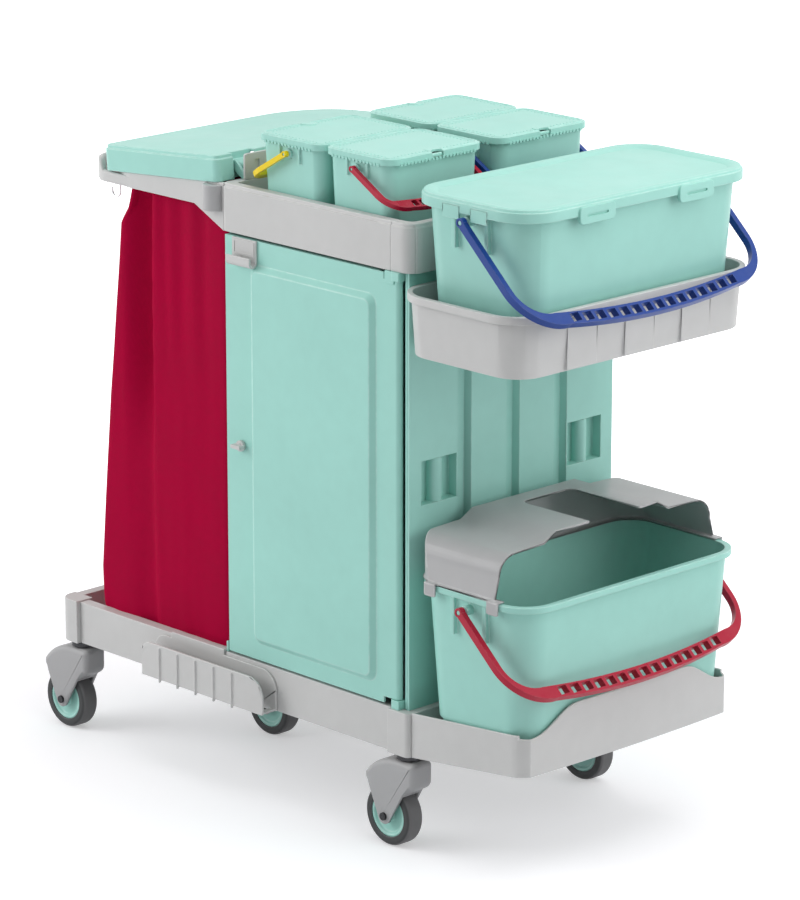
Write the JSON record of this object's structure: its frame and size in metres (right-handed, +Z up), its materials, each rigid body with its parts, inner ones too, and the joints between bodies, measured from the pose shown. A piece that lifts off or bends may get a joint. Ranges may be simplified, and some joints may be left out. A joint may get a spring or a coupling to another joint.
{
  "type": "janitor cart",
  "caption": "Wheeled cleaning cart with a laundry bag under a hinged lid, a cabinet with a door, a tray of lidded buckets on top and large buckets with bail handles at one end.",
  "frame": {"origin": "on the floor under the middle of the cart's box", "axes": "+Z up, +X along the cart towards the bucket end, -Y towards the door side"},
  "size_m": [1.1892, 0.536, 1.0931],
  "materials": {
    "mint_plastic": "semi-gloss moulded",
    "grey_plastic": "satin moulded",
    "grey_dark_plastic": "satin moulded",
    "bag_cloth": "coated woven cloth",
    "tyre_rubber": "matt",
    "steel": "zinc plated",
    "blue_plastic": "semi-gloss moulded",
    "red_plastic": "semi-gloss moulded",
    "yellow_plastic": "semi-gloss moulded",
    "green_plastic": "semi-gloss moulded"
  },
  "bodies": {
    "cart": {"base_frame": "grey_plastic", "base_corner_caps": "grey_plastic", "deck_grate": "grey_dark_plastic", "bucket_tray": "grey_plastic", "mop_rest": "grey_plastic", "caster_stems": "steel", "centre_bracket": "grey_dark_plastic", "centre_axle": "steel", "cabinet_end_panel": "mint_plastic", "cabinet_rear_panel": "mint_plastic", "cabinet_side_panel": "mint_plastic", "door_hinge_blocks": "mint_plastic", "top_tray": "grey_plastic", "top_tray_corner_caps": "grey_plastic", "bag_ring": "grey_plastic", "ring_clamps": "grey_dark_plastic", "bag_hooks": "steel", "laundry_bag": "bag_cloth", "lid_hinge_brackets": "mint_plastic", "bucket_holder": "grey_plastic"},
    "caster_1": {"caster_fork_1": "grey_dark_plastic", "caster_axle_1": "steel"},
    "wheel_1": {"caster_hub_1": "mint_plastic", "caster_tyre_1": "tyre_rubber"},
    "caster_2": {"caster_fork_2": "grey_dark_plastic", "caster_axle_2": "steel"},
    "wheel_2": {"caster_hub_2": "mint_plastic", "caster_tyre_2": "tyre_rubber"},
    "caster_3": {"caster_fork_3": "grey_dark_plastic", "caster_axle_3": "steel"},
    "wheel_3": {"caster_hub_3": "mint_plastic", "caster_tyre_3": "tyre_rubber"},
    "caster_4": {"caster_fork_4": "grey_dark_plastic", "caster_axle_4": "steel"},
    "wheel_4": {"caster_hub_4": "mint_plastic", "caster_tyre_4": "tyre_rubber"},
    "centre_wheel": {"centre_hub": "mint_plastic", "centre_tyre": "tyre_rubber"},
    "cabinet_door": {"door": "mint_plastic", "door_hook": "grey_plastic"},
    "latch": {"door_latch": "grey_plastic"},
    "bag_cover": {"bag_lid": "mint_plastic"},
    "upper_pail": {"upper_bucket": "mint_plastic"},
    "upper_cover": {"upper_lid": "mint_plastic"},
    "upper_handle": {"upper_bail": "blue_plastic"},
    "lower_pail": {"lower_bucket": "mint_plastic"},
    "lower_cover": {"bucket_hood": "grey_dark_plastic"},
    "lower_handle": {"lower_bail": "red_plastic"},
    "small_pail_1": {"small_bucket_1": "mint_plastic"},
    "small_cover_1": {"small_lid_1": "mint_plastic"},
    "small_handle_1": {"small_bail_1": "red_plastic"},
    "small_pail_2": {"small_bucket_2": "mint_plastic"},
    "small_cover_2": {"small_lid_2": "mint_plastic"},
    "small_handle_2": {"small_bail_2": "yellow_plastic"},
    "small_pail_3": {"small_bucket_3": "mint_plastic"},
    "small_cover_3": {"small_lid_3": "mint_plastic"},
    "small_handle_3": {"small_bail_3": "blue_plastic"},
    "small_pail_4": {"small_bucket_4": "mint_plastic"},
    "small_cover_4": {"small_lid_4": "mint_plastic"},
    "small_handle_4": {"small_bail_4": "green_plastic"}
  },
  "joints": [
    {"name": "caster_1_swivel", "type": "hinge", "parent": "cart", "child": "caster_1", "pos_m": [-0.51163, -0.217, 0.13], "axis": [0, 0, 1], "continuous": true},
    {"name": "wheel_1_spin", "type": "hinge", "parent": "caster_1", "child": "wheel_1", "pos_m": [-0.54463, -0.217, 0.05], "axis": [0, 1, 0], "continuous": true},
    {"name": "caster_2_swivel", "type": "hinge", "parent": "cart", "child": "caster_2", "pos_m": [0.27337, -0.217, 0.13], "axis": [0, 0, 1], "continuous": true},
    {"name": "wheel_2_spin", "type": "hinge", "parent": "caster_2", "child": "wheel_2", "pos_m": [0.24037, -0.217, 0.05], "axis": [0, 1, 0], "continuous": true},
    {"name": "caster_3_swivel", "type": "hinge", "parent": "cart", "child": "caster_3", "pos_m": [-0.51163, 0.217, 0.13], "axis": [0, 0, 1], "continuous": true},
    {"name": "wheel_3_spin", "type": "hinge", "parent": "caster_3", "child": "wheel_3", "pos_m": [-0.54463, 0.217, 0.05], "axis": [0, 1, 0], "continuous": true},
    {"name": "caster_4_swivel", "type": "hinge", "parent": "cart", "child": "caster_4", "pos_m": [0.27337, 0.217, 0.13], "axis": [0, 0, 1], "continuous": true},
    {"name": "wheel_4_spin", "type": "hinge", "parent": "caster_4", "child": "wheel_4", "pos_m": [0.24037, 0.217, 0.05], "axis": [0, 1, 0], "continuous": true},
    {"name": "centre_wheel_spin", "type": "hinge", "parent": "cart", "child": "centre_wheel", "pos_m": [-0.27563, 0, 0.05], "axis": [0, 1, 0], "continuous": true},
    {"name": "door_hinge", "type": "hinge", "parent": "cart", "child": "cabinet_door", "pos_m": [0.25937, -0.226, 0.578], "axis": [0, 0, 1], "range_deg": [0, 105]},
    {"name": "latch_turn", "type": "hinge", "parent": "cabinet_door", "child": "latch", "pos_m": [-0.09063, -0.233, 0.584], "axis": [0, -1, 0], "range_deg": [0, 90]},
    {"name": "bag_lid_hinge", "type": "hinge", "parent": "cart", "child": "bag_cover", "pos_m": [-0.14863, 0, 1.021], "axis": [0, 1, 0], "range_deg": [0, 95]},
    {"name": "upper_bucket_lift", "type": "slide", "parent": "cart", "child": "upper_pail", "axis": [0, 0, 1], "range_m": [0, 0.11]},
    {"name": "upper_lid_lift", "type": "slide", "parent": "upper_pail", "child": "upper_cover", "axis": [0, 0, 1], "range_m": [0, 0.05]},
    {"name": "upper_bail_swing", "type": "hinge", "parent": "upper_pail", "child": "upper_handle", "pos_m": [0.42837, 0, 1.0343], "axis": [0, -1, 0], "range_deg": [0, 133.08]},
    {"name": "lower_bucket_lift", "type": "slide", "parent": "cart", "child": "lower_pail", "axis": [0, 0, 1], "range_m": [0, 0.11]},
    {"name": "bucket_hood_lift", "type": "slide", "parent": "lower_pail", "child": "lower_cover", "axis": [0, 0, 1], "range_m": [0, 0.03]},
    {"name": "lower_bail_swing", "type": "hinge", "parent": "lower_pail", "child": "lower_handle", "pos_m": [0.42837, 0, 0.4323], "axis": [0, -1, 0], "range_deg": [0, 132.31]},
    {"name": "small_bucket_1_lift", "type": "slide", "parent": "cart", "child": "small_pail_1", "axis": [0, 0, 1], "range_m": [0, 0.17]},
    {"name": "small_lid_1_lift", "type": "slide", "parent": "small_pail_1", "child": "small_cover_1", "axis": [0, 0, 1], "range_m": [0, 0.03]},
    {"name": "small_bail_1_swing", "type": "hinge", "parent": "small_pail_1", "child": "small_handle_1", "pos_m": [0.15837, -0.117, 1.0683], "axis": [0, -1, 0], "range_deg": [0, 120.22]},
    {"name": "small_bucket_2_lift", "type": "slide", "parent": "cart", "child": "small_pail_2", "axis": [0, 0, 1], "range_m": [0, 0.17]},
    {"name": "small_lid_2_lift", "type": "slide", "parent": "small_pail_2", "child": "small_cover_2", "axis": [0, 0, 1], "range_m": [0, 0.03]},
    {"name": "small_bail_2_swing", "type": "hinge", "parent": "small_pail_2", "child": "small_handle_2", "pos_m": [0.00637, -0.117, 1.0683], "axis": [0, 1, 0], "range_deg": [0, 120.22]},
    {"name": "small_bucket_3_lift", "type": "slide", "parent": "cart", "child": "small_pail_3", "axis": [0, 0, 1], "range_m": [0, 0.17]},
    {"name": "small_lid_3_lift", "type": "slide", "parent": "small_pail_3", "child": "small_cover_3", "axis": [0, 0, 1], "range_m": [0, 0.03]},
    {"name": "small_bail_3_swing", "type": "hinge", "parent": "small_pail_3", "child": "small_handle_3", "pos_m": [0.15837, 0.117, 1.0683], "axis": [0, -1, 0], "range_deg": [0, 120.22]},
    {"name": "small_bucket_4_lift", "type": "slide", "parent": "cart", "child": "small_pail_4", "axis": [0, 0, 1], "range_m": [0, 0.17]},
    {"name": "small_lid_4_lift", "type": "slide", "parent": "small_pail_4", "child": "small_cover_4", "axis": [0, 0, 1], "range_m": [0, 0.03]},
    {"name": "small_bail_4_swing", "type": "hinge", "parent": "small_pail_4", "child": "small_handle_4", "pos_m": [0.00637, 0.117, 1.0683], "axis": [0, 1, 0], "range_deg": [0, 120.22]}
  ]
}
